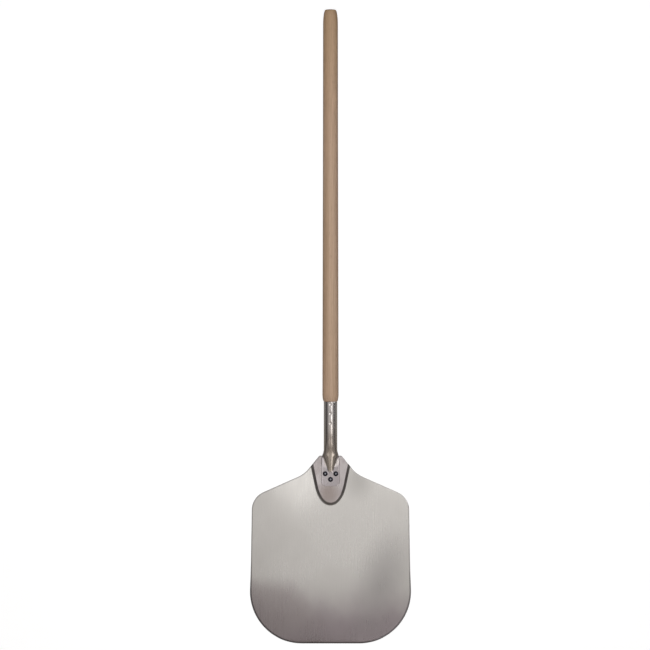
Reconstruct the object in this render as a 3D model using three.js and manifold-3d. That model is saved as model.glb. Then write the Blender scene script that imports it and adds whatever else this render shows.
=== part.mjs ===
// A pizza peel: an aluminium blade with a raised neck, a tube socket riveted to it, and a wooden handle.
// Millimetres. The blade lies in the XY plane, the handle runs along +Y and +Z is up, on the pizza's side.
// The origin is on the blade's underside, on the centre line, half a blade width behind the front edge.
import * as THREE from "three";
import { mergeVertices } from "three/addons/utils/BufferGeometryUtils.js";
import Module from "manifold-3d";

const wasm = await Module();
wasm.setup();

const ARC_ERROR = 0.08;
const ROUND_SIDES = 24;
const OVERCUT = 2;
const QUARTER = Math.PI / 2;

// Blade sheet. Places along the peel, called up, are counted from the blade's front edge.
const SHEET = 1.6;
const BLADE_WIDTH = 304.8;
const BLADE_LENGTH = 355.6;
const FRONT_Y = -BLADE_WIDTH / 2;
const FRONT_CORNER_RADIUS = 98.4;
const SIDE_LEAN = 0.023;
const SHOULDER = { x: 148.3, up: 276.8, radius: 36.7 };
const NECK = { x: 49.2, up: 320.7, radius: 57 };
const NECK_TOP = { x: 21.1, up: BLADE_LENGTH, radius: 3 };
const BEVEL_LENGTH = 6;
const BEVEL_EDGE = 0.8;

// Raised platform at the neck: a U in plan, open towards the handle, with a sloping wall all round.
const RISE = 7;
const FOOT = { bottom: 261, halfWidth: 29.7, up: 297.5, round: 17 };
const BRINK = { bottom: 267.5, halfWidth: 24.2, up: 298, round: 14.5 };
const U_SPREAD = 0.21;
const U_TOP = BLADE_LENGTH + 15;
const WALL_STEPS = 6;
const CURVE_POINTS = 12;
const PLATFORM_TOP = RISE + SHEET;

// Socket tube, round at the handle and crushed flat at the blade.
const TUBE_RADIUS = 12.7;
const TUBE_WALL = 1.5;
const TUBE_BORE = TUBE_RADIUS - TUBE_WALL;
const TUBE_AXIS_Z = 15.5;
const TUBE_MOUTH = 457.9;
const TUBE_END = 298.5;
const CRUSH_START = 404;
const CRUSH_FLAT = 358;
const CRUSH_STEP = 7.5;
const RIDGE_END = 323;
const RIDGE_STEP = 3.5;
const RIDGE_TIP_HALF_WIDTH = 4.5;
const RIDGE_DROP = 1.25;
const RIDGE_POWER = { tip: 1.5, top: 0.7 };
const FILLET = { share: 0.45, start: 340, end: 328 };
const FILLET_ROOT = { share: 1.6, start: 357, end: 350 };
const DOME_SHARE = 0.75;
const FLARE_START = 368;
const FLARE_END = 348;
const TONGUE_HALF_WIDTH = 17.2;
const TONGUE_SLIT = 0.3;
const TONGUE_CORNER = 7;
const TONGUE_THICKNESS = 2 * TUBE_WALL + TONGUE_SLIT;
const TONGUE_TOP = PLATFORM_TOP + TONGUE_THICKNESS;
const EDGE_ROUNDING = 0.43;
const FLANGE_EDGE = 3;
const AROUND = 48;

// Three punched dimples that lock the tube on the handle's tenon.
const DIMPLES_UP = [453.2, 436.1, 417.2];
const DIMPLE_BALL = 4;
const DIMPLE_DEPTH = 1.1;
const FIT_GAP = 0.3;

// Wooden handle.
const HANDLE_END = 1199;
const TENON_RADIUS = TUBE_BORE - FIT_GAP;
const TENON_LENGTH = 50;
const TENON_CHAMFER = 1.5;
const SHOULDER_UP = TUBE_MOUTH + FIT_GAP;
const SHOULDER_RADIUS = 12.9;
const SHOULDER_ROUND = { length: 12, pullRadius: 14.65, pullUp: 2.5 };
const SHAFT = [
  { radius: 15.25, up: SHOULDER_UP + SHOULDER_ROUND.length },
  { radius: 14.65, up: 735 },
  { radius: 14.15, up: 980 },
  { radius: 13.95, up: HANDLE_END - 26 },
];
const CROWN = { radius: 10.2, dome: 1.2, pullRadius: 13.45, pullDown: 6 };
const CURVE_STEPS = 6;

// Rivets: domed head on the tongue, shank through tongue and platform, flat tail under the platform.
const RIVETS = [
  { name: "rivet_left", x: -10, up: 321.6 },
  { name: "rivet_right", x: 10, up: 321.6 },
  { name: "rivet_front", x: 0, up: 310.8 },
];
const HEAD_RADIUS = 4.75;
const HEAD_HEIGHT = 3;
const SHANK_RADIUS = 2.4;
const TAIL_RADIUS = 4;
const TAIL_HEIGHT = 2.2;
const TAIL_CHAMFER = 0.4;
const DOME_STEPS = 7;
const RIVET_HOLE = SHANK_RADIUS + FIT_GAP;

const smooth = THREE.MathUtils.smoothstep;
const mix = THREE.MathUtils.lerp;
const clamp = THREE.MathUtils.clamp;

// --- helpers -------------------------------------------------------------------------------------

function solid(geometry) {
  const bare = geometry.clone();
  bare.deleteAttribute("normal");
  bare.deleteAttribute("uv");
  const merged = mergeVertices(bare, 1e-4);
  return new wasm.Manifold(
    new wasm.Mesh({
      numProp: 3,
      vertProperties: merged.attributes.position.array,
      triVerts: new Uint32Array(merged.index.array),
    }),
  );
}

function meshOf(name, body, material) {
  const data = body.getMesh();
  const geometry = new THREE.BufferGeometry();
  geometry.setAttribute("position", new THREE.BufferAttribute(data.vertProperties, 3));
  geometry.setIndex(new THREE.BufferAttribute(data.triVerts, 1));
  geometry.computeVertexNormals();
  const mesh = new THREE.Mesh(geometry, material);
  mesh.name = name;
  return mesh;
}

// A prism over an outline given in X and distance from the front edge.
function prism(points, low, high) {
  const shape = new THREE.Shape(points.map((p) => new THREE.Vector2(p.x, p.y + FRONT_Y)));
  const geometry = new THREE.ExtrudeGeometry(shape, { depth: high - low, bevelEnabled: false });
  return solid(geometry.translate(0, 0, low));
}

function cylinder(radius, low, high, x, up) {
  const geometry = new THREE.CylinderGeometry(radius, radius, high - low, ROUND_SIDES);
  geometry.rotateX(QUARTER);
  return solid(geometry.translate(x, up + FRONT_Y, (low + high) / 2));
}

// Replaces a corner of an outline by an arc that touches both its sides, in steps that stay close to the arc.
function arcAt(before, corner, after, radius) {
  const back = before.clone().sub(corner).normalize();
  const on = after.clone().sub(corner).normalize();
  const half = back.angleTo(on) / 2;
  const middle = back.clone().add(on).normalize();
  const centre = corner.clone().addScaledVector(middle, radius / Math.sin(half));
  const first = corner.clone().addScaledVector(back, radius / Math.tan(half)).sub(centre);
  const last = corner.clone().addScaledVector(on, radius / Math.tan(half)).sub(centre);
  const turn = Math.atan2(first.cross(last), first.dot(last));
  const steps = Math.ceil(Math.abs(turn) / (2 * Math.acos(1 - ARC_ERROR / radius)));
  const points = [];
  for (let i = 0; i <= steps; i++) {
    points.push(first.clone().rotateAround(new THREE.Vector2(), (turn * i) / steps).add(centre));
  }
  return points;
}

// A closed solid through rings that all have the same number of points.
function loft(rings) {
  const count = rings[0].length;
  const caps = THREE.ShapeUtils.triangulateShape(
    rings[0].map((p) => new THREE.Vector2(p.x, p.y)),
    [],
  );
  const top = (rings.length - 1) * count;
  const index = [];
  for (const [a, b, c] of caps) {
    index.push(a, c, b, top + a, top + b, top + c);
  }
  for (let level = 0; level < rings.length - 1; level++) {
    for (let i = 0; i < count; i++) {
      const a = level * count + i;
      const b = level * count + ((i + 1) % count);
      index.push(a, b, b + count, a, b + count, a + count);
    }
  }
  const geometry = new THREE.BufferGeometry().setFromPoints(rings.flat());
  geometry.setIndex(index);
  return solid(geometry);
}

// --- blade ---------------------------------------------------------------------------------------

// Half the blade's outline, from the front edge's centre to the top edge's centre.
function halfOutline() {
  const start = new THREE.Vector2(0, 0);
  const frontCorner = new THREE.Vector2(BLADE_WIDTH / 2 + SIDE_LEAN * FRONT_CORNER_RADIUS, 0);
  const shoulder = new THREE.Vector2(SHOULDER.x, SHOULDER.up);
  const neck = new THREE.Vector2(NECK.x, NECK.up);
  const neckTop = new THREE.Vector2(NECK_TOP.x, NECK_TOP.up);
  const end = new THREE.Vector2(0, BLADE_LENGTH);
  return [
    ...arcAt(start, frontCorner, shoulder, FRONT_CORNER_RADIUS),
    ...arcAt(frontCorner, shoulder, neck, SHOULDER.radius),
    ...arcAt(shoulder, neck, neckTop, NECK.radius),
    ...arcAt(neck, neckTop, end, NECK_TOP.radius),
  ];
}

function mirrored(half) {
  const other = half.map((p) => new THREE.Vector2(-p.x, p.y)).reverse();
  return [...half, ...other];
}

// One of the two lines of the raised U, from its bottom up one side and down the other.
function uCurve(size) {
  const side = new THREE.Vector2(size.halfWidth, size.up);
  const pull = new THREE.Vector2(U_SPREAD, 1).multiplyScalar(size.round);
  const bend = new THREE.CubicBezierCurve(
    new THREE.Vector2(0, size.bottom),
    new THREE.Vector2(size.round, size.bottom),
    side.clone().sub(pull),
    side,
  );
  const top = new THREE.Vector2(size.halfWidth + U_SPREAD * (U_TOP - size.up), U_TOP);
  return mirrored([...bend.getPoints(CURVE_POINTS).slice(1), top]);
}

// Everything under the sheet's surface at the raised platform, with its sloping wall.
function raisedBlock(base) {
  const foot = uCurve(FOOT);
  const brink = uCurve(BRINK);
  const ring = (share, z) =>
    foot.map((p, i) => {
      const at = p.clone().lerp(brink[i], share);
      return new THREE.Vector3(at.x, at.y + FRONT_Y, z);
    });
  const rings = [ring(0, base - OVERCUT)];
  for (let i = 0; i <= WALL_STEPS; i++) {
    const share = i / WALL_STEPS;
    rings.push(ring(share, base + RISE * smooth(share, 0, 1)));
  }
  return loft(rings);
}

function frontBevel() {
  const wedge = new THREE.Shape([
    new THREE.Vector2(FRONT_Y - OVERCUT, BEVEL_EDGE),
    new THREE.Vector2(FRONT_Y, BEVEL_EDGE),
    new THREE.Vector2(FRONT_Y + BEVEL_LENGTH, SHEET),
    new THREE.Vector2(FRONT_Y + BEVEL_LENGTH, SHEET + OVERCUT),
    new THREE.Vector2(FRONT_Y - OVERCUT, SHEET + OVERCUT),
  ]);
  const geometry = new THREE.ExtrudeGeometry(wedge, { depth: BLADE_WIDTH, bevelEnabled: false });
  const alongX = new THREE.Matrix4().makeBasis(
    new THREE.Vector3(0, 1, 0),
    new THREE.Vector3(0, 0, 1),
    new THREE.Vector3(1, 0, 0),
  );
  return solid(geometry.applyMatrix4(alongX).translate(-BLADE_WIDTH / 2, 0, 0));
}

function bladeBody() {
  const outline = mirrored(halfOutline());
  const room = prism(outline, -OVERCUT, PLATFORM_TOP + OVERCUT);
  const slab = prism(outline, 0, SHEET);
  let body = slab.add(raisedBlock(SHEET).intersect(room));
  body = body.subtract(raisedBlock(0));
  body = body.subtract(frontBevel());
  for (const rivet of RIVETS) {
    body = body.subtract(cylinder(RIVET_HOLE, 0, PLATFORM_TOP + OVERCUT, rivet.x, rivet.up));
  }
  return body;
}

// --- socket tube ---------------------------------------------------------------------------------

// Where a point of the straight tube ends up once the tube's end is crushed.
// side is its distance through the wall, from 0 at the bore to 1 at the outside.
function crushed(angle, up, side) {
  const radius = TUBE_RADIUS - (1 - side) * TUBE_WALL;
  const section = new THREE.Vector2(Math.sin(angle), Math.cos(angle)).multiplyScalar(radius);
  section.y += TUBE_AXIS_Z;
  section.lerp(flatSection(angle, up, side), 1 - smooth(up, CRUSH_FLAT, CRUSH_START));
  return new THREE.Vector3(section.x, up + FRONT_Y, section.y);
}

// The crushed section: a flat underside, and a dome between two flanges on top. The dome is as wide as the
// tube where the flat part begins, and tapers away between the rivets. A fillet runs along its foot,
// fullest at the tube's root.
function flatSection(angle, up, side) {
  const inward = (1 - side) * TUBE_WALL;
  const halfGap = TONGUE_SLIT / 2 + side * TUBE_WALL;
  const wide = 1 - smooth(up, FLARE_END, FLARE_START);
  const halfWidth = mix(TUBE_RADIUS, TONGUE_HALF_WIDTH, wide) - inward;
  const middle = PLATFORM_TOP + TONGUE_THICKNESS / 2;
  if (Math.cos(angle) < 0) {
    const lift = Math.max(-1, Math.cos(angle) / EDGE_ROUNDING);
    return new THREE.Vector2(halfWidth * Math.sin(angle), middle + halfGap * lift);
  }
  const taper = clamp((up - RIDGE_END) / (CRUSH_FLAT - RIDGE_END), 0, 1);
  const along = clamp((up - RIDGE_END) / (CRUSH_START - RIDGE_END), 0, 1);
  const domeHalfWidth = mix(RIDGE_TIP_HALF_WIDTH, TUBE_RADIUS, taper) - inward;
  const domeHeight = (TUBE_AXIS_Z + TUBE_RADIUS - TONGUE_TOP) * (1 - Math.pow(1 - along, RIDGE_DROP));
  const share = Math.abs(angle) / QUARTER;
  const dome = Math.min(1, share / DOME_SHARE) * QUARTER;
  const flange = Math.max(0, (share - DOME_SHARE) / (1 - DOME_SHARE));
  const out = Math.sin(flange * QUARTER);
  const x = mix(domeHalfWidth * Math.sin(dome), halfWidth, out);
  const lift = Math.min(1, FLANGE_EDGE * (1 - flange));
  const room = 1 - domeHalfWidth / halfWidth;
  const fullness = mix(FILLET.share, FILLET_ROOT.share, smooth(up, FILLET_ROOT.end, FILLET_ROOT.start));
  const fillet = fullness * domeHeight * room * smooth(up, FILLET.end, FILLET.start);
  const bulge = Math.pow(Math.max(0, Math.cos(dome)), mix(RIDGE_POWER.tip, RIDGE_POWER.top, taper));
  const rise = mix(fillet * (1 - out) ** 2, domeHeight, bulge);
  return new THREE.Vector2(Math.sign(angle) * x, middle + halfGap * lift + rise);
}

function tubeBody() {
  const stations = [TUBE_END];
  for (let up = RIDGE_END; up < CRUSH_FLAT; up += RIDGE_STEP) {
    stations.push(up);
  }
  for (let up = CRUSH_FLAT; up < CRUSH_START; up += CRUSH_STEP) {
    stations.push(up);
  }
  stations.push(CRUSH_START, TUBE_MOUTH);
  const outside = stations.map((up) => new THREE.Vector2(TUBE_RADIUS, up));
  const inside = stations.map((up) => new THREE.Vector2(TUBE_BORE, up)).reverse();
  const profile = [...outside, ...inside, outside[0]];
  const geometry = new THREE.LatheGeometry(profile, AROUND);
  const position = geometry.getAttribute("position");
  const at = new THREE.Vector3();
  for (let i = 0; i < position.count; i++) {
    at.fromBufferAttribute(position, i);
    const radius = Math.hypot(at.x, at.z);
    const side = (radius - TUBE_BORE) / TUBE_WALL;
    const to = crushed(Math.atan2(at.x, at.z), at.y, side);
    position.setXYZ(i, to.x, to.y, to.z);
  }
  return solid(geometry);
}

function dimpleBall(up, extra) {
  const ball = new THREE.SphereGeometry(DIMPLE_BALL + extra, 20, 12);
  const height = TUBE_AXIS_Z + TUBE_RADIUS - DIMPLE_DEPTH + DIMPLE_BALL;
  return solid(ball.translate(0, up + FRONT_Y, height));
}

// A straight rod on the tube's axis.
function rod(radius, low, high) {
  const geometry = new THREE.CylinderGeometry(radius, radius, high - low, AROUND);
  return solid(geometry.translate(0, (low + high) / 2 + FRONT_Y, TUBE_AXIS_Z));
}

// Room for the whole tube, with the two corners of the tongue's end rounded off.
function tubeRoom() {
  const wide = TONGUE_HALF_WIDTH + OVERCUT;
  const start = new THREE.Vector2(0, TUBE_END);
  const corner = new THREE.Vector2(TONGUE_HALF_WIDTH, TUBE_END);
  const side = new THREE.Vector2(TONGUE_HALF_WIDTH, FLARE_END);
  const half = [
    ...arcAt(start, corner, side, TONGUE_CORNER),
    new THREE.Vector2(wide, FLARE_END),
    new THREE.Vector2(wide, TUBE_MOUTH + OVERCUT),
  ];
  return prism(mirrored(half), 0, TUBE_AXIS_Z + TUBE_RADIUS + OVERCUT);
}

function socketTube() {
  let body = tubeBody().intersect(tubeRoom());
  const inTheWall = rod(TUBE_BORE + TUBE_WALL / 2, CRUSH_START, TUBE_MOUTH);
  for (const up of DIMPLES_UP) {
    body = body.add(dimpleBall(up, TUBE_WALL).intersect(inTheWall));
  }
  for (const up of DIMPLES_UP) {
    body = body.subtract(dimpleBall(up, 0));
  }
  for (const rivet of RIVETS) {
    body = body.subtract(cylinder(RIVET_HOLE, 0, TONGUE_TOP + OVERCUT, rivet.x, rivet.up));
  }
  return body;
}

// --- handle --------------------------------------------------------------------------------------

function handle() {
  const tenonEnd = SHOULDER_UP - TENON_LENGTH;
  const profile = new THREE.Path();
  profile.moveTo(0, tenonEnd);
  profile.lineTo(TENON_RADIUS - TENON_CHAMFER, tenonEnd);
  profile.lineTo(TENON_RADIUS, tenonEnd + TENON_CHAMFER);
  profile.lineTo(TENON_RADIUS, SHOULDER_UP);
  profile.lineTo(SHOULDER_RADIUS, SHOULDER_UP);
  profile.quadraticCurveTo(
    SHOULDER_ROUND.pullRadius,
    SHOULDER_UP + SHOULDER_ROUND.pullUp,
    SHAFT[0].radius,
    SHAFT[0].up,
  );
  for (const at of SHAFT.slice(1)) {
    profile.lineTo(at.radius, at.up);
  }
  profile.quadraticCurveTo(
    CROWN.pullRadius,
    HANDLE_END - CROWN.pullDown,
    CROWN.radius,
    HANDLE_END - CROWN.dome,
  );
  profile.quadraticCurveTo(CROWN.radius / 2, HANDLE_END, 0, HANDLE_END);
  const geometry = new THREE.LatheGeometry(profile.getPoints(CURVE_STEPS), AROUND);
  let body = solid(geometry.translate(0, FRONT_Y, TUBE_AXIS_Z));
  for (const up of DIMPLES_UP) {
    body = body.subtract(dimpleBall(up, TUBE_WALL + FIT_GAP));
  }
  return body;
}

// --- rivets --------------------------------------------------------------------------------------

function rivet(place) {
  const profile = new THREE.Path();
  profile.moveTo(0, RISE - TAIL_HEIGHT);
  profile.lineTo(TAIL_RADIUS - TAIL_CHAMFER, RISE - TAIL_HEIGHT);
  profile.lineTo(TAIL_RADIUS, RISE - TAIL_HEIGHT + TAIL_CHAMFER);
  profile.lineTo(TAIL_RADIUS, RISE);
  profile.lineTo(SHANK_RADIUS, RISE);
  profile.lineTo(SHANK_RADIUS, TONGUE_TOP);
  profile.lineTo(HEAD_RADIUS, TONGUE_TOP);
  const dome = new THREE.EllipseCurve(0, TONGUE_TOP, HEAD_RADIUS, HEAD_HEIGHT, 0, QUARTER);
  const points = [...profile.getPoints(1), ...dome.getPoints(DOME_STEPS).slice(1, -1)];
  points.push(new THREE.Vector2(0, TONGUE_TOP + HEAD_HEIGHT));
  const geometry = new THREE.LatheGeometry(points, ROUND_SIDES);
  geometry.rotateX(QUARTER);
  return solid(geometry.translate(place.x, place.up + FRONT_Y, 0));
}

// --- assembly ------------------------------------------------------------------------------------

const aluminium = new THREE.MeshStandardMaterial({ color: 0xb9b5b0, roughness: 0.42, metalness: 1 });
const steel = new THREE.MeshStandardMaterial({ color: 0xa9a4a0, roughness: 0.2, metalness: 1 });
const rivetSteel = new THREE.MeshStandardMaterial({ color: 0x6b6b6d, roughness: 0.25, metalness: 1 });
const wood = new THREE.MeshStandardMaterial({ color: 0xab8a70, roughness: 0.6, metalness: 0 });

const peel = new THREE.Group();
peel.name = "pizza_peel";
peel.add(meshOf("blade", bladeBody(), aluminium));
peel.add(meshOf("socket_tube", socketTube(), steel));
peel.add(meshOf("handle", handle(), wood));
for (const place of RIVETS) {
  peel.add(meshOf(place.name, rivet(place), rivetSteel));
}

export default peel;
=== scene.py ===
import math

import bmesh
import bpy
import numpy as np
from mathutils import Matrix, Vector


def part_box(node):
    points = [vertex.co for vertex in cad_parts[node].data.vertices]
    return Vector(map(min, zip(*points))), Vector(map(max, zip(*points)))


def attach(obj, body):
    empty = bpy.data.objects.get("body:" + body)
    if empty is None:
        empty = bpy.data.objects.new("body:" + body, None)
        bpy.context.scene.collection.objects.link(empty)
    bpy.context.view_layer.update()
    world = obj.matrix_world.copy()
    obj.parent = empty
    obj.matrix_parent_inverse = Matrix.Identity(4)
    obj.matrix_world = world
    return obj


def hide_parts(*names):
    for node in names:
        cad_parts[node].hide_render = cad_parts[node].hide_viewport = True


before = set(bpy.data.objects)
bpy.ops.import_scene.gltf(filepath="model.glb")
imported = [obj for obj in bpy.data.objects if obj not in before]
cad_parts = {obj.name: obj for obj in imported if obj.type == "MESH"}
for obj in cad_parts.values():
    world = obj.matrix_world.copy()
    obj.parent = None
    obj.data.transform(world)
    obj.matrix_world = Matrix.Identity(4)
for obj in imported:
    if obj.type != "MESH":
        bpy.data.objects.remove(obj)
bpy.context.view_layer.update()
MM = 0.001
QUARTER = math.pi / 2

# Places along the peel, called up, are in millimetres from the blade's front edge, as in the CAD source.
FRONT_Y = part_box("blade")[0].y
SHEET = 1.6
BLADE_HALF_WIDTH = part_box("blade")[1].x / MM
BLADE_LENGTH = (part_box("blade")[1].y - FRONT_Y) / MM
FRONT_CORNER_RADIUS = 98.4
SIDE_LEAN = 0.023
SHOULDER = {"x": 148.3, "up": 276.8, "radius": 36.7}
NECK = {"x": 49.2, "up": 320.7, "radius": 57}
NECK_TOP = {"x": 21.1, "radius": 3}
BEVEL_LENGTH = 6
BEVEL_EDGE = 0.8
EDGE_RADIUS = 0.7
FRONT_EDGE_RADIUS = 0.35
RIM = {"front": 3.4, "back": 1.9, "narrows_from": 60, "narrows_to": 160}
FINE_CUT = 0.8
COARSE_CUT = 12.0

# The raised platform.
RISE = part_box("blade")[1].z / MM - SHEET
FOOT = {"bottom": 261, "half_width": 29.7, "up": 297.5, "round": 17}
U_SPREAD = 0.21
WALL_WIDTH = 5.9
PLATFORM_TOP = RISE + SHEET

# The socket tube.
TUBE_RADIUS = 12.7
TUBE_WALL = 1.5
MOUTH_ROUND = 0.3
TUBE_AXIS_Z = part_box("socket_tube")[1].z / MM - TUBE_RADIUS
TUBE_MOUTH = (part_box("socket_tube")[1].y - FRONT_Y) / MM
TUBE_END = (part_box("socket_tube")[0].y - FRONT_Y) / MM
CRUSH_START = 404
CRUSH_FLAT = 358
RIDGE_END = 323
RIDGE_TIP_HALF_WIDTH = 4.5
RIDGE_DROP = 1.25
RIDGE_POWER = {"tip": 1.5, "top": 0.7}
FILLET = {"share": 0.45, "start": 340, "end": 328}
FILLET_ROOT = {"share": 1.6, "start": 357, "end": 350}
DOME_SHARE = 0.75
FLARE_START = 368
FLARE_END = 348
TONGUE_HALF_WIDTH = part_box("socket_tube")[1].x / MM
TONGUE_SLIT = 0.3
TONGUE_CORNER = 7
TONGUE_THICKNESS = 2 * TUBE_WALL + TONGUE_SLIT
TONGUE_TOP = PLATFORM_TOP + TONGUE_THICKNESS
FOLD_RADIUS = 0.9
DIMPLES_UP = (453.2, 436.1, 417.2)
DIMPLE_RADIUS = 3.3
DIMPLE_DEPTH = 1.1

# The handle.
FIT_GAP = 0.3
HANDLE_END = (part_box("handle")[1].y - FRONT_Y) / MM
TENON_END = (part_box("handle")[0].y - FRONT_Y) / MM
TENON_RADIUS = TUBE_RADIUS - TUBE_WALL - FIT_GAP
TENON_CHAMFER = 1.5
SHOULDER_UP = TUBE_MOUTH + FIT_GAP
SHOULDER_RADIUS = 12.9
SHOULDER_ROUND = 12
SHAFT = ((15.25, SHOULDER_UP + SHOULDER_ROUND), (14.65, 735), (14.15, 980), (13.95, HANDLE_END - 26))
CROWN_RADIUS = 10.2
CROWN_DOME = 1.2

# The rivets.
RIVET_SHANK_RADIUS = 2.4
RIVET_TAIL_RADIUS = 4.0
RIVET_TAIL_ROUND = 0.7
RIVET_HEAD_EDGE = 0.35

# --- shape helpers -------------------------------------------------------------------------------


def smooth(value, low, high):
    """0 below low, 1 above high, and an easy S between them."""
    share = np.clip((value - low) / (high - low), 0, 1)
    return share * share * (3 - 2 * share)


def mix(a, b, share):
    return a + (b - a) * share


def bezier(points, steps):
    """Points along a quadratic or cubic curve."""
    curve = [np.array(p, float) for p in points]
    result = []
    for share in np.linspace(0, 1, steps + 1):
        level = curve
        while len(level) > 1:
            level = [mix(a, b, share) for a, b in zip(level, level[1:])]
        result.append(level[0])
    return result


def arc_at(before, corner, after, radius, steps):
    """Replaces a corner of an outline by an arc that touches both its sides."""
    before, corner, after = (np.array(p, float) for p in (before, corner, after))
    back = (before - corner) / np.linalg.norm(before - corner)
    on = (after - corner) / np.linalg.norm(after - corner)
    half = math.acos(float(back @ on)) / 2
    middle = (back + on) / np.linalg.norm(back + on)
    centre = corner + middle * radius / math.sin(half)
    first = corner + back * radius / math.tan(half) - centre
    last = corner + on * radius / math.tan(half) - centre
    turn = math.atan2(first[0] * last[1] - first[1] * last[0], float(first @ last))
    points = []
    for angle in np.linspace(0, turn, steps + 1):
        cos, sin = math.cos(angle), math.sin(angle)
        points.append(centre + np.array((first[0] * cos - first[1] * sin, first[0] * sin + first[1] * cos)))
    return points


def tube_faces(rings, around):
    """Quads between rings of points that each close on themselves."""
    faces = []
    for ring in range(rings - 1):
        for i in range(around):
            a = ring * around + i
            b = ring * around + (i + 1) % around
            faces.append((a, b, b + around, a + around))
    return faces


def turned(profile, around):
    """Points and faces of a (radius, height) profile turned about +Z. Its ends lie on the axis."""
    points = [(0, 0, profile[0][1])]
    for radius, height in profile[1:-1]:
        for i in range(around):
            angle = 2 * math.pi * i / around
            points.append((radius * math.cos(angle), radius * math.sin(angle), height))
    points.append((0, 0, profile[-1][1]))
    rings = len(profile) - 2
    faces = [tuple(1 + n for n in face) for face in tube_faces(rings, around)]
    top = 1 + (rings - 1) * around
    for i in range(around):
        after = (i + 1) % around
        faces.append((0, 1 + after, 1 + i))
        faces.append((top + i, top + after, len(points) - 1))
    return np.array(points, float), faces


def make_piece(name, node, points, faces, look, sharp_angle=35):
    """A smooth-shaded piece that stands for a CAD node. Points are in metres."""
    mesh = bpy.data.meshes.new(name)
    mesh.from_pydata([tuple(p) for p in points], [], faces)
    mesh.shade_smooth()
    mesh.set_sharp_from_angle(angle=math.radians(sharp_angle))
    mesh.materials.append(look)
    piece = bpy.data.objects.new(name, mesh)
    bpy.context.scene.collection.objects.link(piece)
    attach(piece, "root")
    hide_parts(node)
    return piece


# --- node helpers --------------------------------------------------------------------------------


class Look:
    """A material or world, and the short calls that build its node tree."""

    def __init__(self, owner):
        self.owner = owner
        owner.use_nodes = True
        self.tree = owner.node_tree

    def put(self, socket, value):
        if isinstance(value, bpy.types.NodeSocket):
            self.tree.links.new(value, socket)
        else:
            socket.default_value = value

    def node(self, kind, inputs=None, **settings):
        made = self.tree.nodes.new("ShaderNode" + kind)
        for key, value in settings.items():
            setattr(made, key, value)
        for socket, value in (inputs or {}).items():
            self.put(made.inputs[socket], value)
        return made

    def place(self, scale=(1, 1, 1), offset=(0, 0, 0)):
        """The point's place in the object's own frame, in metres, scaled and moved."""
        at = self.node("TexCoord").outputs["Object"]
        inputs = {"Vector": at, "Scale": scale, "Location": offset}
        return self.node("Mapping", inputs).outputs["Vector"]

    def noise(self, at, detail=2.0, roughness=0.5):
        inputs = {"Vector": at, "Scale": 1.0, "Detail": detail, "Roughness": roughness}
        return self.node("TexNoise", inputs).outputs["Fac"]

    def math(self, operation, a, b=0.0):
        return self.node("Math", {0: a, 1: b}, operation=operation).outputs[0]

    def span(self, value, low, high, to_low=0.0, to_high=1.0):
        """value from low..high carried smoothly to to_low..to_high."""
        inputs = {
            "Value": value,
            "From Min": low,
            "From Max": high,
            "To Min": to_low,
            "To Max": to_high,
        }
        made = self.node("MapRange", inputs, interpolation_type="SMOOTHSTEP")
        return made.outputs["Result"]

    def blend(self, share, a, b):
        """Colour a where share is 0 and colour b where it is 1."""
        made = self.node("Mix", data_type="RGBA")
        for index, value in ((0, share), (6, a), (7, b)):
            self.put(made.inputs[index], value)
        return made.outputs[2]

    def split(self, vector):
        return self.node("SeparateXYZ", {0: vector}).outputs

    def upward(self):
        """How far the surface faces up: 1 where it is level and 0 where it is upright."""
        return self.math("ABSOLUTE", self.split(self.node("NewGeometry").outputs["Normal"])[2])

    def steepness(self, level, steep, most):
        """0 where the surface is level, rising to most where it is steep."""
        return self.span(self.upward(), level, steep, 0.0, most)

    def bump(self, height, distance, normal=None):
        inputs = {"Height": height, "Distance": distance, "Strength": 1.0}
        if normal is not None:
            inputs["Normal"] = normal
        return self.node("Bump", inputs).outputs["Normal"]


def material(name, shader_values):
    look = Look(bpy.data.materials.new(name))
    look.shader = look.tree.nodes["Principled BSDF"]
    for socket, value in shader_values.items():
        look.shader.inputs[socket].default_value = value
    return look


def grey(value):
    return (value, value, value, 1.0)


# --- materials -----------------------------------------------------------------------------------

# Oval patches of colour: centre and reach in metres, turn in degrees, where each starts and stops fading (as
# shares of its reach), its colour, and how strongly it covers. Most are painted light, as marked below.
# The first two dark patches are painted shade, standing in for dark reflections on the satin blade; the third
# darkens the sheet beside the neck.
SHEET_DARK_PATCHES = (
    ((0.094, -0.034), (0.044, 0.096), -20, (0.05, 1.35), (0.46, 0.44, 0.43, 1), 0.70),
    ((-0.118, -0.090), (0.105, 0.056), -10, (0.5, 1.2), (0.46, 0.41, 0.405, 1), 0.68),
    ((0.052, 0.158), (0.030, 0.040), 0, (0.05, 1.35), (0.50, 0.485, 0.46, 1), 0.70),
)
PLATFORM_TAN = ((-0.001, 0.131), (0.022, 0.024), 0, (0.3, 1.25), (0.33, 0.27, 0.24, 1), 0.62)
# A painted highlight on the tongue's flat beside the ridge.
TONGUE_PAINTED_HIGHLIGHT = ((0.0130, 0.190), (0.0035, 0.0085), -13, (0.4, 1.3), (0.78, 0.73, 0.70, 1), 1.0)
# Painted shade on the tube's top where it slopes down towards the tongue.
TUBE_PAINTED_SHADE = ((-0.001, 0.232), (0.006, 0.017), 0, (0.2, 1.3), (0.33, 0.28, 0.24, 1), 0.8)
RAGGEDNESS = 7.0
# Painted shade for the platform's steep wall and the blade's rim.
PAINTED_SHADE = (0.13, 0.12, 0.125, 1)


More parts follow.
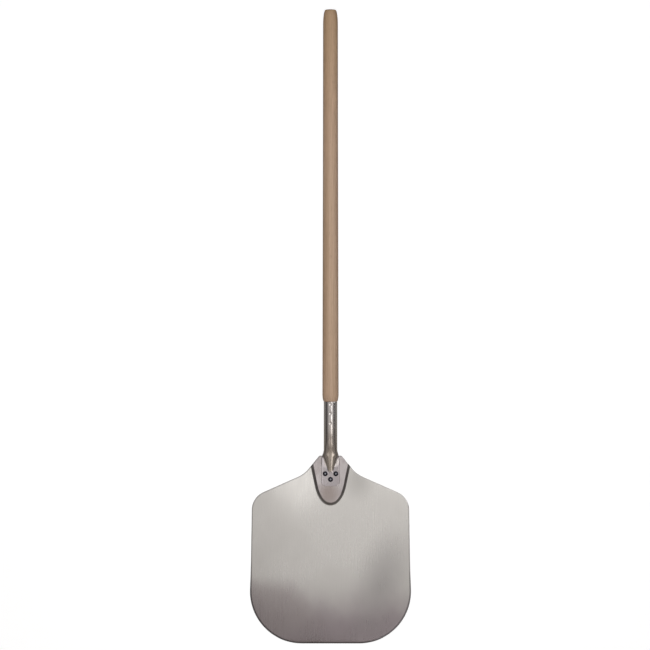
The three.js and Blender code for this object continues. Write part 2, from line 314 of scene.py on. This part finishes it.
def oval_patch(look, colour, patch_row, ragged, within=1.0):
    """colour under one ragged oval patch, which shows only as far as within says. Most such patches here are
    painted light: painted shade and a painted highlight.
    """
    centre, reach, turn, fade, tint, strength = patch_row
    inputs = {
        "Vector": look.node("TexCoord").outputs["Object"],
        "Location": (*centre, 0),
        "Rotation": (0, 0, math.radians(turn)),
        "Scale": (*reach, 1),
    }
    x, y, _ = look.split(look.node("Mapping", inputs, vector_type="TEXTURE").outputs["Vector"])
    gap = look.math("SQRT", look.math("ADD", look.math("MULTIPLY", x, x), look.math("MULTIPLY", y, y)))
    gap = look.math("ADD", gap, look.math("MULTIPLY", ragged, RAGGEDNESS))
    share = look.math("MULTIPLY", look.span(gap, fade[1], fade[0]), strength)
    return look.blend(look.math("MULTIPLY", share, within), colour, tint)


def satin_aluminium():
    """Rolled sheet with a fine lengthwise grain and cloudy wear; its front turns purple-brown, a painted
    reflection of dark surroundings together with some heat tint, and it carries painted shade in dark
    patches, on the platform's wall and on the rim.
    """
    look = material("satin_aluminium", {"Metallic": 1.0})
    x, y, z = look.split(look.place())
    grain = look.noise(look.place(scale=(1600, 26, 1600)), detail=3, roughness=0.6)
    strokes = look.noise(look.place(scale=(420, 9, 420), offset=(3, 7, 1)), detail=2)
    cloud = look.noise(look.place(scale=(9, 7, 9)), detail=3, roughness=0.55)
    wave = look.noise(look.place(scale=(3.1, 2.3, 3.1), offset=(5, 2, 0)), detail=1)
    ragged = look.math("MULTIPLY", look.math("SUBTRACT", cloud, 0.5), 0.12)

    colour = look.blend(look.span(cloud, 0.3, 0.75), (0.77, 0.75, 0.715, 1), (0.70, 0.68, 0.645, 1))
    # Painted reflection with some heat tint: purple-brown towards the front.
    front = look.math("ADD", y, look.math("ADD", ragged, look.math("MULTIPLY", x, -0.06)))
    colour = look.blend(look.span(front, -0.015, -0.125, 0.0, 0.9), colour, (0.42, 0.36, 0.38, 1))
    # Darker patches, the first two of them painted shade.
    for patch_row in SHEET_DARK_PATCHES:
        colour = oval_patch(look, colour, patch_row, ragged)
    colour = look.blend(look.span(grain, 0.3, 0.8, 0.0, 0.12), colour, grey(0.45))

    mottle = look.noise(look.place(scale=(70, 50, 70), offset=(4, 4, 4)), detail=3)
    pressed = look.blend(look.span(mottle, 0.35, 0.7), (0.58, 0.54, 0.535, 1), (0.47, 0.425, 0.42, 1))
    pressed = oval_patch(look, pressed, PLATFORM_TAN, ragged)
    raised = look.span(z, 0.35 * RISE * MM, 1.1 * RISE * MM)
    colour = look.blend(raised, colour, pressed)

    # Painted shade: the platform's steep wall and the rim inside the rounded edge are painted dark, most of
    # all round the front, for the dark surroundings they mirror.
    wall_shade = look.span(z, SHEET * MM, 2 * SHEET * MM, 0.9, 0.52)
    colour = look.blend(look.math("MULTIPLY", look.steepness(0.93, 0.6, 1.0), wall_shade), colour, PAINTED_SHADE)
    shaded_rim = look.span(look.node("Attribute", attribute_name="shaded_rim").outputs["Fac"], 0.1, 0.5)
    shaded_rim = look.math("MULTIPLY", shaded_rim, look.span(y, 0.03, -0.06, 0.3, 0.8))
    colour = look.blend(shaded_rim, colour, PAINTED_SHADE)
    look.put(look.shader.inputs["Base Color"], colour)

    rough = look.span(grain, 0.25, 0.75, 0.26, 0.34)
    rough = look.math("ADD", rough, look.span(cloud, 0.3, 0.8, -0.03, 0.06))
    look.put(look.shader.inputs["Roughness"], rough)

    normal = look.bump(wave, 0.0035)
    normal = look.bump(strokes, 0.00002, normal=normal)
    normal = look.bump(grain, 0.000006, normal=normal)
    look.put(look.shader.inputs["Normal"], normal)
    return look.owner


def polished_tube():
    """Drawn and polished tube with draw lines and handling marks; browner towards its crushed end as a
    painted warm reflection, with a painted highlight on the tongue and painted shade on its sloping top.
    """
    look = material("polished_tube", {"Metallic": 1.0})
    _, y, z = look.split(look.place())
    lines = look.noise(look.place(scale=(900, 14, 900)), detail=3, roughness=0.6)
    streaks = look.noise(look.place(scale=(330, 10, 330), offset=(2, 5, 7)), detail=2)
    smudge = look.noise(look.place(scale=(60, 40, 60)), detail=3)
    colour = look.blend(look.span(smudge, 0.35, 0.75), (0.66, 0.63, 0.615, 1), (0.54, 0.505, 0.48, 1))
    # Painted reflection: browner towards the crushed end, for the warm surroundings the tube mirrors.
    warm_reflection = look.span(look.math("ADD", y, look.math("MULTIPLY", smudge, 0.04)), 0.31, 0.23, 0.0, 0.85)
    colour = look.blend(warm_reflection, colour, (0.52, 0.45, 0.38, 1))
    flat = look.span(z, (TONGUE_TOP + 1.2) * MM, (TONGUE_TOP + 0.1) * MM)
    colour = look.blend(flat, colour, (0.52, 0.48, 0.49, 1))
    ragged = look.math("MULTIPLY", look.math("SUBTRACT", smudge, 0.5), 0.05)
    # A painted highlight on the tongue's flat.
    colour = oval_patch(look, colour, TONGUE_PAINTED_HIGHLIGHT, ragged, within=flat)
    # Painted shade on the tube's top where it slopes down.
    colour = oval_patch(look, colour, TUBE_PAINTED_SHADE, ragged)
    colour = look.blend(look.span(lines, 0.35, 0.8, 0.0, 0.25), colour, (0.38, 0.35, 0.33, 1))
    colour = look.blend(look.span(streaks, 0.45, 0.8, 0.0, 0.3), colour, (0.42, 0.37, 0.34, 1))
    look.put(look.shader.inputs["Base Color"], colour)
    rough = look.math("ADD", look.span(lines, 0.3, 0.8, 0.15, 0.24), look.span(smudge, 0.4, 0.8, 0.0, 0.1))
    look.put(look.shader.inputs["Roughness"], rough)
    look.put(look.shader.inputs["Normal"], look.bump(lines, 0.00001))
    return look.owner


def rivet_metal():
    """Blackened steel with light hammer and handling marks, painted near-black round the dome's rim as a
    painted dark reflection.
    """
    look = material("rivet_metal", {"Metallic": 1.0})
    marks = look.noise(look.place(scale=(500, 500, 500)), detail=3, roughness=0.6)
    blotch = look.noise(look.place(scale=(220, 220, 220), offset=(1, 4, 2)), detail=2)
    dome_tone = look.blend(look.span(blotch, 0.35, 0.7), (0.30, 0.30, 0.31, 1), (0.20, 0.20, 0.21, 1))
    # Painted reflection: the dome turns near-black where it faces sideways.
    edge = look.span(look.math("ADD", look.upward(), look.math("MULTIPLY", blotch, 0.02)), 1.008, 0.98)
    look.put(look.shader.inputs["Base Color"], look.blend(edge, dome_tone, (0.03, 0.032, 0.043, 1)))
    look.put(look.shader.inputs["Roughness"], look.span(marks, 0.3, 0.75, 0.20, 0.34))
    look.put(look.shader.inputs["Normal"], look.bump(marks, 0.00004))
    return look.owner


def turned_hardwood():
    """Satin pinkish-brown hardwood, with growth rings about an axis beside the shaft, fibres and pores."""
    gloss = {"Specular IOR Level": 0.4, "Coat Weight": 0.12, "Coat Roughness": 0.4}
    look = material("turned_hardwood", gloss)
    warp = look.noise(look.place(scale=(16, 2.2, 16)), detail=2)
    x, _, z = look.split(look.place(offset=(0.031, 0, 0.012)))
    squares = look.math("ADD", look.math("MULTIPLY", x, x), look.math("MULTIPLY", z, z))
    across = look.math("POWER", squares, 0.5)
    rings = look.math("MULTIPLY_ADD", across, 520.0)
    look.put(rings.node.inputs[2], look.math("MULTIPLY", warp, 9.0))
    rings = look.span(look.math("FRACT", rings), 0.0, 1.0)
    fibre = look.noise(look.place(scale=(1300, 20, 1300)), detail=4, roughness=0.65)
    streak = look.noise(look.place(scale=(260, 3.2, 260), offset=(2, 1, 6)), detail=3, roughness=0.55)
    pores = look.noise(look.place(scale=(2300, 70, 2300), offset=(4, 9, 3)), detail=1)
    tone = look.noise(look.place(scale=(8, 1.6, 8), offset=(8, 3, 1)), detail=2)

    light = (0.66, 0.475, 0.325, 1)
    dark = (0.54, 0.365, 0.235, 1)
    pink = (0.66, 0.435, 0.325, 1)
    ochre = (0.60, 0.40, 0.23, 1)
    colour = look.blend(look.span(streak, 0.3, 0.72), light, dark)
    colour = look.blend(look.span(tone, 0.35, 0.7, 0.0, 0.55), colour, pink)
    along = look.math("ADD", look.split(look.place())[1], look.math("MULTIPLY", streak, 0.08))
    colour = look.blend(look.span(along, 0.75, 1.10, 0.0, 0.9), colour, ochre)
    colour = look.blend(look.math("MULTIPLY", rings, 0.28), colour, (0.42, 0.27, 0.165, 1))
    colour = look.blend(look.span(fibre, 0.35, 0.8, 0.0, 0.35), colour, (0.38, 0.245, 0.15, 1))
    colour = look.blend(look.span(pores, 0.62, 0.78, 0.0, 0.5), colour, (0.16, 0.09, 0.055, 1))
    endward = look.split(look.node("NewGeometry").outputs["Normal"])[1]
    colour = look.blend(look.span(endward, 0.35, 0.7, 0.0, 0.55), colour, (0.17, 0.12, 0.09, 1))
    look.put(look.shader.inputs["Base Color"], colour)

    rough = look.span(fibre, 0.3, 0.75, 0.46, 0.62)
    look.put(look.shader.inputs["Roughness"], rough)
    height = look.math("SUBTRACT", look.math("MULTIPLY", fibre, 0.5), look.span(pores, 0.62, 0.78))
    look.put(look.shader.inputs["Normal"], look.bump(height, 0.00005))
    return look.owner


def pale_floor():
    """A plain white sweep that keeps only a breath of the peel's shadow."""
    look = material("pale_floor", {"Roughness": 0.9, "Specular IOR Level": 0.1, "Emission Strength": 0.87})
    look.shader.inputs["Emission Color"].default_value = (1, 1, 1, 1)
    tooth = look.noise(look.place(scale=(40, 40, 40)), detail=2)
    look.put(look.shader.inputs["Base Color"], look.blend(tooth, grey(0.30), grey(0.33)))
    return look.owner


# --- blade ---------------------------------------------------------------------------------------


def half_outline():
    """Half the blade's outline in millimetres, from the front edge to the top edge."""
    start = (0, 0)
    front_corner = (BLADE_HALF_WIDTH + SIDE_LEAN * FRONT_CORNER_RADIUS, 0)
    shoulder = (SHOULDER["x"], SHOULDER["up"])
    neck = (NECK["x"], NECK["up"])
    neck_top = (NECK_TOP["x"], BLADE_LENGTH)
    end = (0, BLADE_LENGTH)
    return [
        *arc_at(start, front_corner, shoulder, FRONT_CORNER_RADIUS, 60),
        *arc_at(front_corner, shoulder, neck, SHOULDER["radius"], 28),
        *arc_at(shoulder, neck, neck_top, NECK["radius"], 16),
        *arc_at(neck, neck_top, end, NECK_TOP["radius"], 8),
    ]


def outward(loop):
    """The outward direction at each point of a loop that runs counterclockwise."""
    after = np.roll(loop, -1, axis=0) - loop
    before = loop - np.roll(loop, 1, axis=0)
    after /= np.linalg.norm(after, axis=1)[:, None]
    before /= np.linalg.norm(before, axis=1)[:, None]
    along = after + before
    along /= np.linalg.norm(along, axis=1)[:, None]
    return np.stack((along[:, 1], -along[:, 0]), axis=1)


def platform_foot():
    """The foot of the raised platform's wall, from one side round its rounded end to the other."""
    side = np.array((FOOT["half_width"], FOOT["up"]))
    pull = np.array((U_SPREAD, 1)) * FOOT["round"]
    bend = bezier([(0, FOOT["bottom"]), (FOOT["round"], FOOT["bottom"]), side - pull, side], 40)
    reach = BLADE_LENGTH + 15
    top = np.array((FOOT["half_width"] + U_SPREAD * (reach - FOOT["up"]), reach))
    half = [*bend, top]
    other = [p * (-1, 1) for p in half[:0:-1]]
    return np.array([*other, *half])


def sheet_height(at):
    """Height of the sheet's underside at points of (x, up): 0 on the blade, RISE on the platform."""
    foot = platform_foot()
    nearest = np.full(len(at), 1e9)
    inside = np.zeros(len(at), bool)
    for a, b in zip(foot, foot[1:]):
        along = b - a
        share = np.clip(((at - a) @ along) / (along @ along), 0, 1)
        gap = np.linalg.norm(at - (a + share[:, None] * along), axis=1)
        nearest = np.minimum(nearest, gap)
        crosses = (a[1] > at[:, 1]) != (b[1] > at[:, 1])
        with np.errstate(divide="ignore", invalid="ignore"):
            edge_x = a[0] + (at[:, 1] - a[1]) * along[0] / along[1]
        inside ^= crosses & (at[:, 0] < edge_x)
    return RISE * smooth(np.where(inside, nearest, 0), 0, WALL_WIDTH)


def cut_lines():
    """Lines across the sheet, closer together where it is bent."""
    columns = [*np.arange(-44, 44.1, FINE_CUT)]
    columns += [*np.arange(-140, -44, COARSE_CUT), *np.arange(56, 141, COARSE_CUT)]
    rows = [BEVEL_LENGTH, *np.arange(18, 250, COARSE_CUT), *np.arange(256, BLADE_LENGTH, FINE_CUT)]
    return columns, rows


def flat_sheet():
    """The blade's outline as one level mesh cut along those lines, and its border in order."""
    half = half_outline()
    other = [p * (-1, 1) for p in reversed(half)]
    loop = np.array([*half, *other])
    work = bmesh.new()
    inset = edge_radius(loop) + rim_width(loop)
    corners = [work.verts.new((x, up, 0)) for x, up in loop - outward(loop) * inset]
    work.faces.new(corners)
    columns, rows = cut_lines()
    cuts = [((x, 0, 0), (1, 0, 0)) for x in columns] + [((0, up, 0), (0, 1, 0)) for up in rows]
    for place, direction in cuts:
        everything = work.verts[:] + work.edges[:] + work.faces[:]
        bmesh.ops.bisect_plane(work, geom=everything, dist=0.002, plane_co=place, plane_no=direction)
    work.verts.index_update()
    points = np.array([v.co[:2] for v in work.verts])
    faces = [tuple(v.index for v in face.verts) for face in work.faces]
    after = {}
    for edge in work.edges:
        if edge.is_boundary:
            turn = edge.link_loops[0]
            after[turn.vert.index] = turn.link_loop_next.vert.index
    border = [next(iter(after))]
    while after[border[-1]] != border[0]:
        border.append(after[border[-1]])
    work.free()
    return points, faces, border


def sheet_thickness(at):
    """Thickness of the sheet at points of (x, up), less on the bevel along its front."""
    return mix(BEVEL_EDGE, SHEET, np.clip(at[:, 1] / BEVEL_LENGTH, 0, 1))


def edge_radius(at):
    """Radius of the sheet's rounded edge at points of (x, up), as a column."""
    share = np.clip(at[:, 1] / BEVEL_LENGTH - 1, 0, 1)
    return mix(FRONT_EDGE_RADIUS, EDGE_RADIUS, share)[:, None]


def rim_width(at):
    """Width of the band inside the rounded edge that takes painted shade, at points of (x, up), as a column.
    """
    share = smooth(at[:, 1], RIM["narrows_from"], RIM["narrows_to"])
    return mix(RIM["front"], RIM["back"], share)[:, None]


def blade(look):
    """The sheet's two faces, joined by loops of points that run round its rounded edge."""
    flat, faces, border = flat_sheet()
    count = len(flat)
    low = sheet_height(flat)
    points = [*np.column_stack((flat, low + sheet_thickness(flat))), *np.column_stack((flat, low))]
    faces = faces + [tuple(count + n for n in reversed(face)) for face in faces]
    edge = flat[border]
    out = outward(edge)
    radius = edge_radius(edge)
    loops = [border]
    degrees = [(turn, True) for turn in (0, 22, 45, 68, 90)] + [(turn, False) for turn in (90, 60, 30, 0)]
    for turn, upper in degrees:
        turn = math.radians(turn)
        spot = edge + out * (rim_width(edge) + radius * math.sin(turn))
        drop = radius[:, 0] * (1 - math.cos(turn))
        height = sheet_height(spot) + (sheet_thickness(spot) - drop if upper else drop)
        loops.append(list(range(len(points), len(points) + len(border))))
        points.extend(np.column_stack((spot, height)))
    loops.append([count + n for n in border])
    for upper, lower in zip(loops, loops[1:]):
        for i in range(len(border)):
            j = (i + 1) % len(border)
            faces.append((upper[i], lower[i], lower[j], upper[j]))
    points = np.array(points) * MM
    points[:, 1] += FRONT_Y
    piece = make_piece("blade_sheet", "blade", points, faces, look, sharp_angle=75)
    # Marks the rounded edge and the band inside it for the painted shade on the rim.
    shaded_rim = np.zeros(len(points), np.float32)
    shaded_rim[2 * count:] = 1
    piece.data.attributes.new("shaded_rim", "FLOAT", "POINT").data.foreach_set("value", shaded_rim)
    return piece


# --- socket tube ---------------------------------------------------------------------------------


def flat_section(angle, up, side):
    """The crushed section: flat underneath, with a dome, its fillets and two flanges on top."""
    inward = (1 - side) * TUBE_WALL
    half_gap = TONGUE_SLIT / 2 + side * TUBE_WALL
    half_width = mix(TONGUE_HALF_WIDTH, TUBE_RADIUS, smooth(up, FLARE_END, FLARE_START)) - inward
    cut = np.clip(TUBE_END + TONGUE_CORNER - up, 0, TONGUE_CORNER)
    half_width = half_width - (TONGUE_CORNER - np.sqrt(TONGUE_CORNER**2 - cut**2))
    middle = PLATFORM_TOP + TONGUE_THICKNESS / 2
    taper = np.clip((up - RIDGE_END) / (CRUSH_FLAT - RIDGE_END), 0, 1)
    along = np.clip((up - RIDGE_END) / (CRUSH_START - RIDGE_END), 0, 1)
    dome_half_width = mix(RIDGE_TIP_HALF_WIDTH, TUBE_RADIUS, taper) - inward
    dome_height = (TUBE_AXIS_Z + TUBE_RADIUS - TONGUE_TOP) * (1 - (1 - along) ** RIDGE_DROP)
    share = np.abs(angle) / QUARTER
    dome = np.clip(share / DOME_SHARE, 0, 1) * QUARTER
    flange = np.clip((share - DOME_SHARE) / (1 - DOME_SHARE), 0, 1)
    upper = share <= 1
    out = np.sin(flange * QUARTER)
    top_x = mix(dome_half_width * np.sin(dome), half_width, out)
    room = (half_width - np.abs(top_x)) / FOLD_RADIUS
    top_lift = np.where(flange > 0, np.sqrt(np.clip(1 - (1 - np.clip(room, 0, 1)) ** 2, 0, 1)), 1)
    at_root = smooth(up, FILLET_ROOT["end"], FILLET_ROOT["start"])
    fullness = mix(FILLET["share"], FILLET_ROOT["share"], at_root)
    fillet = fullness * dome_height * (1 - dome_half_width / half_width)
    fillet = fillet * smooth(up, FILLET["end"], FILLET["start"])
    bulge = np.clip(np.cos(dome), 0, 1) ** mix(RIDGE_POWER["tip"], RIDGE_POWER["top"], taper)
    rise = mix(fillet * (1 - out) ** 2, dome_height, bulge)
    low_x = half_width * np.sin(angle)
    low_room = (half_width - np.abs(low_x)) / FOLD_RADIUS
    low_lift = -np.sqrt(np.clip(1 - (1 - np.clip(low_room, 0, 1)) ** 2, 0, 1))
    x = np.where(upper, np.sign(angle) * top_x, low_x)
    z = middle + np.where(upper, half_gap * top_lift + rise, half_gap * low_lift)
    return x, z


def dimple_depth(angle, up):
    """How far the wall is punched in at a point, in millimetres."""
    depth = 0
    for centre in DIMPLES_UP:
        gap = np.hypot(angle * TUBE_RADIUS, up - centre) / DIMPLE_RADIUS
        depth = depth + DIMPLE_DEPTH * np.clip(1 - gap**2, 0, 1) ** 1.5
    return depth


def crushed(angle, up, side):
    """Where a point of the straight tube ends up. side is 0 at the bore and 1 at the outside."""
    radius = TUBE_RADIUS - (1 - side) * TUBE_WALL - dimple_depth(angle, up)
    share = 1 - smooth(up, CRUSH_FLAT, CRUSH_START)
    flat_x, flat_z = flat_section(angle, up, side)
    x = mix(radius * np.sin(angle), flat_x, share)
    z = mix(TUBE_AXIS_Z + radius * np.cos(angle), flat_z, share)
    return np.column_stack((x, np.full(len(x), up), z))


def tube_angles():
    """Angles round the tube from its top, closer together on top where the dimples are."""
    near = np.linspace(0, 0.36, 13)
    far = np.linspace(0.36, math.pi, 60)[1:]
    half = np.concatenate((near, far))
    return np.concatenate((-half[::-1][:-1], half[:-1]))


def tube_stations():
    """Places along the tube, closer together at its end, its ridge, its dimples and its mouth."""
    end = TUBE_END + TONGUE_CORNER * (1 - np.cos(np.linspace(0, QUARTER, 14)))
    tongue = np.linspace(end[-1], RIDGE_END, 8)[1:]
    ridge = np.linspace(RIDGE_END, CRUSH_FLAT, 30)[1:]
    crush = np.linspace(CRUSH_FLAT, CRUSH_START, 24)[1:]
    dimples = [np.linspace(c - DIMPLE_RADIUS, c + DIMPLE_RADIUS, 14) for c in DIMPLES_UP]
    plain = np.concatenate((end, tongue, ridge, crush, *dimples))
    return np.sort(np.concatenate((plain, [TUBE_MOUTH - MOUTH_ROUND])))


def socket_tube(look):
    """The tube's outside from its crushed end to its rounded mouth, and its bore back again."""
    angles = tube_angles()
    stations = tube_stations()
    rings = [crushed(angles, up, 1.0) for up in stations]
    for share in (0.35, 0.7, 1.0):
        side = 1 - MOUTH_ROUND / TUBE_WALL * share**2
        rings.append(crushed(angles, TUBE_MOUTH - MOUTH_ROUND * (1 - share), side))
    rings.append(crushed(angles, TUBE_MOUTH, 0.0))
    rings.extend(crushed(angles, up, 0.0) for up in stations[::-1])
    around = len(angles)
    points = np.concatenate(rings)
    faces = tube_faces(len(rings), around)
    last = (len(rings) - 1) * around
    for i in range(around):
        j = (i + 1) % around
        faces.append((last + i, last + j, j, i))
    points = points * MM
    points[:, 1] += FRONT_Y
    return make_piece("tube_socket", "socket_tube", points, faces, look, sharp_angle=45)


# --- handle --------------------------------------------------------------------------------------


def handle(look):
    """The turned shaft, from the end of its tenon to its domed crown."""
    profile = [(0, TENON_END), (TENON_RADIUS - TENON_CHAMFER, TENON_END)]
    profile += [(TENON_RADIUS, TENON_END + TENON_CHAMFER), (TENON_RADIUS, SHOULDER_UP)]
    first_radius, first_up = SHAFT[0]
    last_radius, last_up = SHAFT[-1]
    profile.append((SHOULDER_RADIUS - 0.5, SHOULDER_UP))
    shoulder = [(SHOULDER_RADIUS, SHOULDER_UP + 0.2), (first_radius - 0.6, SHOULDER_UP + 2.5)]
    profile += bezier([*shoulder, (first_radius, first_up)], 14)
    for (radius, up), (next_radius, next_up) in zip(SHAFT, SHAFT[1:]):
        profile += [(mix(radius, next_radius, s), mix(up, next_up, s)) for s in np.linspace(0, 1, 9)[1:]]
    crown_edge = (CROWN_RADIUS, HANDLE_END - CROWN_DOME)
    profile += bezier([(last_radius, last_up), (last_radius - 0.5, HANDLE_END - 6), crown_edge], 20)[1:]
    profile += bezier([crown_edge, (CROWN_RADIUS * 0.88, HANDLE_END - 0.1), (0, HANDLE_END)], 10)[1:]
    points, faces = turned(profile, 112)
    along_y = np.column_stack((points[:, 0], points[:, 2], -points[:, 1]))
    along_y[:, 2] += TUBE_AXIS_Z
    along_y = along_y * MM
    along_y[:, 1] += FRONT_Y
    return make_piece("wooden_handle", "handle", along_y, faces, look)


# --- rivets --------------------------------------------------------------------------------------


def rivet(node, look):
    """A domed head on the tongue, a shank, and a flattened tail under the platform."""
    low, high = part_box(node)
    centre = (low + high) / 2
    head_radius = (high.x - low.x) / 2 / MM
    head_height = high.z / MM - TONGUE_TOP
    tail = low.z / MM
    tail_radius = RIVET_TAIL_RADIUS
    edge_top = TONGUE_TOP + RIVET_HEAD_EDGE
    profile = [(0, tail), (tail_radius - 0.8, tail)]
    tail_edge = (tail_radius, tail + RIVET_TAIL_ROUND)
    profile += bezier([(tail_radius - 0.6, tail), (tail_radius, tail), tail_edge], 5)
    profile += [(tail_radius, RISE), (RIVET_SHANK_RADIUS, RISE), (RIVET_SHANK_RADIUS, TONGUE_TOP)]
    profile.append((head_radius - 0.25, TONGUE_TOP))
    head_foot = [(head_radius - 0.1, TONGUE_TOP), (head_radius, TONGUE_TOP + 0.1), (head_radius, edge_top)]
    profile += bezier(head_foot, 4)
    for angle in np.linspace(0, QUARTER, 18)[1:]:
        radius = head_radius * math.cos(angle) if angle < QUARTER else 0
        profile.append((radius, edge_top + (head_height - RIVET_HEAD_EDGE) * math.sin(angle)))
    points, faces = turned(profile, 56)
    points = points * MM
    points += (centre.x, centre.y, 0)
    return make_piece(node + "_domed", node, points, faces, look)


# --- studio --------------------------------------------------------------------------------------

CAMERA_CENTRE = Vector((-0.0104, 0.4503, 0.0))
CAMERA_HEIGHT = 8.0
FRAME_WIDTH = 1.2305

# Softboxes: name, place, target, size, brightness, shape, and the kind of ray that each is hidden from.
SOFTBOXES = (
    ("overhead", (-0.02, 0.52, 0.45), (-0.02, 0.52, 0), (0.66, 1.28), 0.34, "ELLIPSE", None),
    ("neck_glow", (-0.066, 0.150, 0.22), (-0.066, 0.150, 0), (0.09, 0.10), 0.5, "ELLIPSE", None),
    ("top_fill", (0.05, 0.72, 1.2), (0.05, 0.72, 0), (0.4, 1.7), 2.3, "RECTANGLE", "glossy"),
    ("low_glow", (0.95, 0.66, 0.36), (0, 0.66, 0), (0.5, 0.4), 4.0, "RECTANGLE", "diffuse"),
    ("right_strip", (0.40, 0.77, 1.15), (0, 0.77, 0), (1.18, 0.50), 1.5, "RECTANGLE", "diffuse"),
    ("front_strip", (0.60, -0.62, 2.0), (0, 0.19, 0), (0.66, 0.6), 1.3, "RECTANGLE", "diffuse"),
)
FLOOR_REACH = 25
FLOOR_DROP = 0.0005


def camera():
    data = bpy.data.cameras.new("camera")
    data.sensor_width = 36
    data.lens = data.sensor_width * CAMERA_HEIGHT / FRAME_WIDTH
    data.clip_end = 100
    made = bpy.data.objects.new("camera", data)
    made.location = CAMERA_CENTRE + Vector((0, 0, CAMERA_HEIGHT))
    bpy.context.scene.collection.objects.link(made)
    bpy.context.scene.camera = made


def softbox(name, place, target, size, brightness, shape, hidden_from):
    """A soft light that the camera doesn't see, set by how bright its face is."""
    data = bpy.data.lights.new(name, "AREA")
    data.shape = shape
    data.size, data.size_y = size
    area = size[0] * size[1] * (math.pi / 4 if shape == "ELLIPSE" else 1)
    data.energy = brightness * math.pi * area
    made = bpy.data.objects.new(name, data)
    made.location = place
    made.rotation_euler = (Vector(target) - Vector(place)).to_track_quat("-Z", "Y").to_euler()
    made.visible_camera = False
    made.visible_glossy = hidden_from != "glossy"
    made.visible_diffuse = hidden_from != "diffuse"
    bpy.context.scene.collection.objects.link(made)


def surroundings():
    """Pale to the eye, and to the metal a soft room that is dark low down on its sides and in front."""
    world = bpy.data.worlds.new("surroundings")
    bpy.context.scene.world = world
    look = Look(world)
    background = look.tree.nodes["Background"]
    direction = look.node("TexCoord").outputs["Generated"]
    x, _, z = look.split(direction)
    sky = look.blend(look.span(z, 0.1, 0.9), (0.30, 0.295, 0.29, 1), (0.31, 0.295, 0.29, 1))
    in_front = look.node("VectorMath", {0: direction, 1: (0, -0.64, 0.77)}, operation="DOT_PRODUCT")
    sky = look.blend(look.span(in_front.outputs["Value"], 0.84, 0.97), sky, (0.22, 0.195, 0.175, 1))
    sky = look.blend(look.span(look.math("ABSOLUTE", x), 0.74, 0.95), sky, (0.085, 0.082, 0.085, 1))
    rays = look.node("LightPath").outputs
    low = look.blend(rays["Is Diffuse Ray"], (0.29, 0.28, 0.265, 1), (0.05, 0.045, 0.04, 1))
    colour = look.blend(look.span(z, 0.06, -0.08), sky, low)
    look.put(background.inputs["Color"], look.blend(rays["Is Camera Ray"], colour, (0.97, 0.97, 0.97, 1)))


def studio(floor_look):
    mesh = bpy.data.meshes.new("floor")
    reach = FLOOR_REACH
    corners = [(-reach, -reach, 0), (reach, -reach, 0), (reach, reach, 0), (-reach, reach, 0)]
    mesh.from_pydata(corners, [], [(0, 1, 2, 3)])
    mesh.materials.append(floor_look)
    floor = bpy.data.objects.new("floor", mesh)
    floor.location.z = -FLOOR_DROP
    floor.visible_glossy = False
    floor.visible_diffuse = False
    bpy.context.scene.collection.objects.link(floor)
    for row in SOFTBOXES:
        softbox(*row)
    surroundings()


def finish_views():
    view = bpy.context.scene.view_settings
    view.view_transform = "Standard"
    view.look = "None"


camera()
studio(pale_floor())
finish_views()
blade(satin_aluminium())
socket_tube(polished_tube())
handle(turned_hardwood())
rivet_look = rivet_metal()
for node_name in ("rivet_left", "rivet_right", "rivet_front"):
    rivet(node_name, rivet_look)
